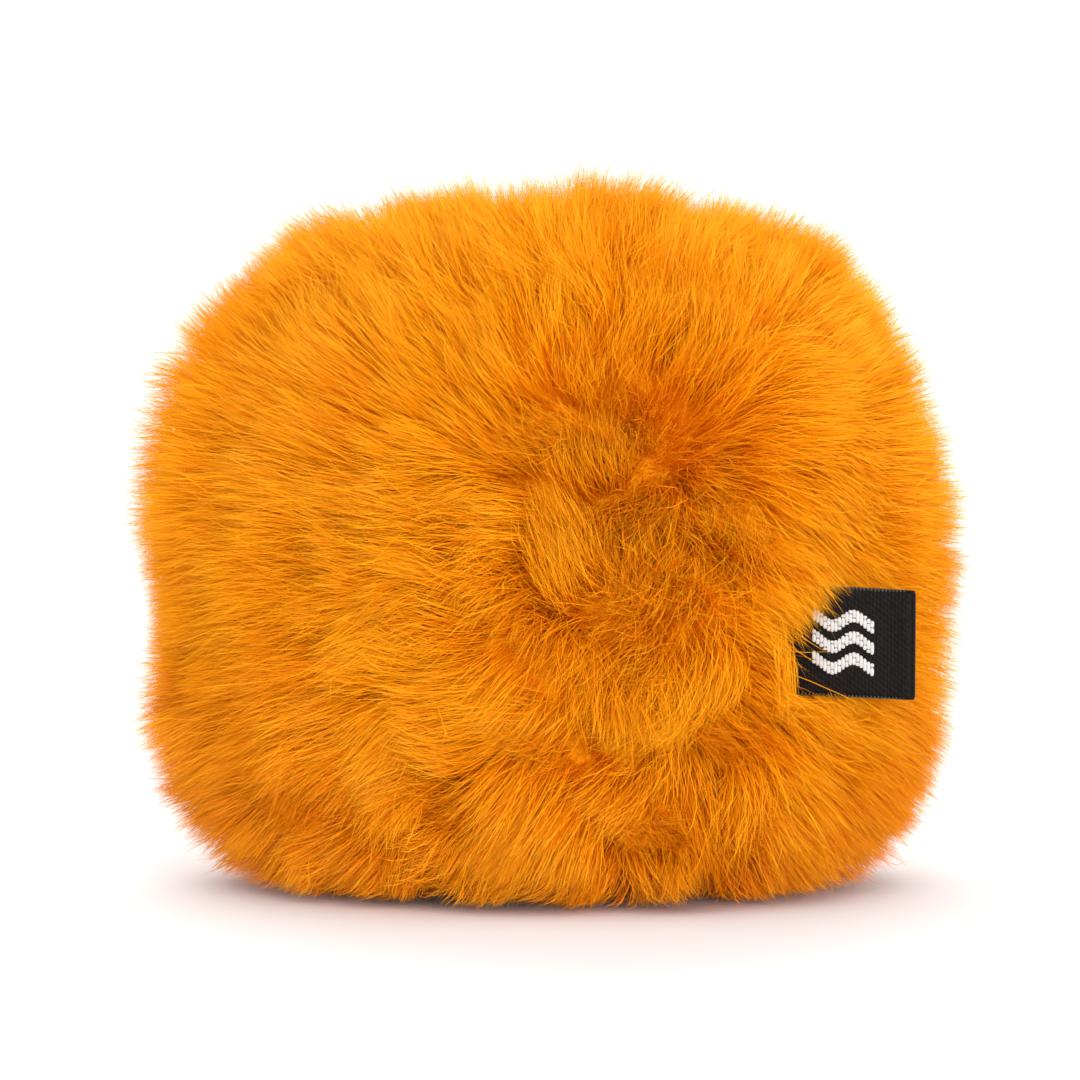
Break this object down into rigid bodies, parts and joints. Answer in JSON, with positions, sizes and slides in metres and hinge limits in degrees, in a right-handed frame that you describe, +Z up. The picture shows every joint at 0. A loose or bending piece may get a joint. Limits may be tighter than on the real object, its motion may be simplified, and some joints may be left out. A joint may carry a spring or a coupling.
{
  "type": "furry windscreen",
  "caption": "Compact round faux-fur windscreen over a foam core, with a twist-lock base for a clip-on wireless microphone and a folded side label.",
  "frame": {"origin": "centre of the flat underside of the fur skirt, on the windscreen's axis", "axes": "+Z up along the windscreen's axis, away from the microphone; the front is towards -Y, and the label lies at the front right, +X"},
  "size_m": [0.0384, 0.0384, 0.034],
  "materials": {
    "fur": "long-pile orange faux fur",
    "thread": "orange polyester sewing thread",
    "foam": "charcoal open-cell acoustic foam",
    "moulding": "fine-textured black moulding",
    "label": "black woven satin label with a white woven motif"
  },
  "bodies": {
    "windscreen": {"fur_side_wrap": "fur", "fur_crown": "fur", "side_seam_thread": "thread", "crown_seam_thread": "thread", "foam_core": "foam", "base_plate": "moulding", "hem_clamp_ring": "moulding"},
    "label": {"label_tab": "label"}
  },
  "joints": [
    {"name": "label_flex", "type": "hinge", "parent": "windscreen", "child": "label", "pos_m": [0.00794, -0.01017, 0.0129], "axis": [0, 0, -1], "range_deg": [0, 40]}
  ]
}
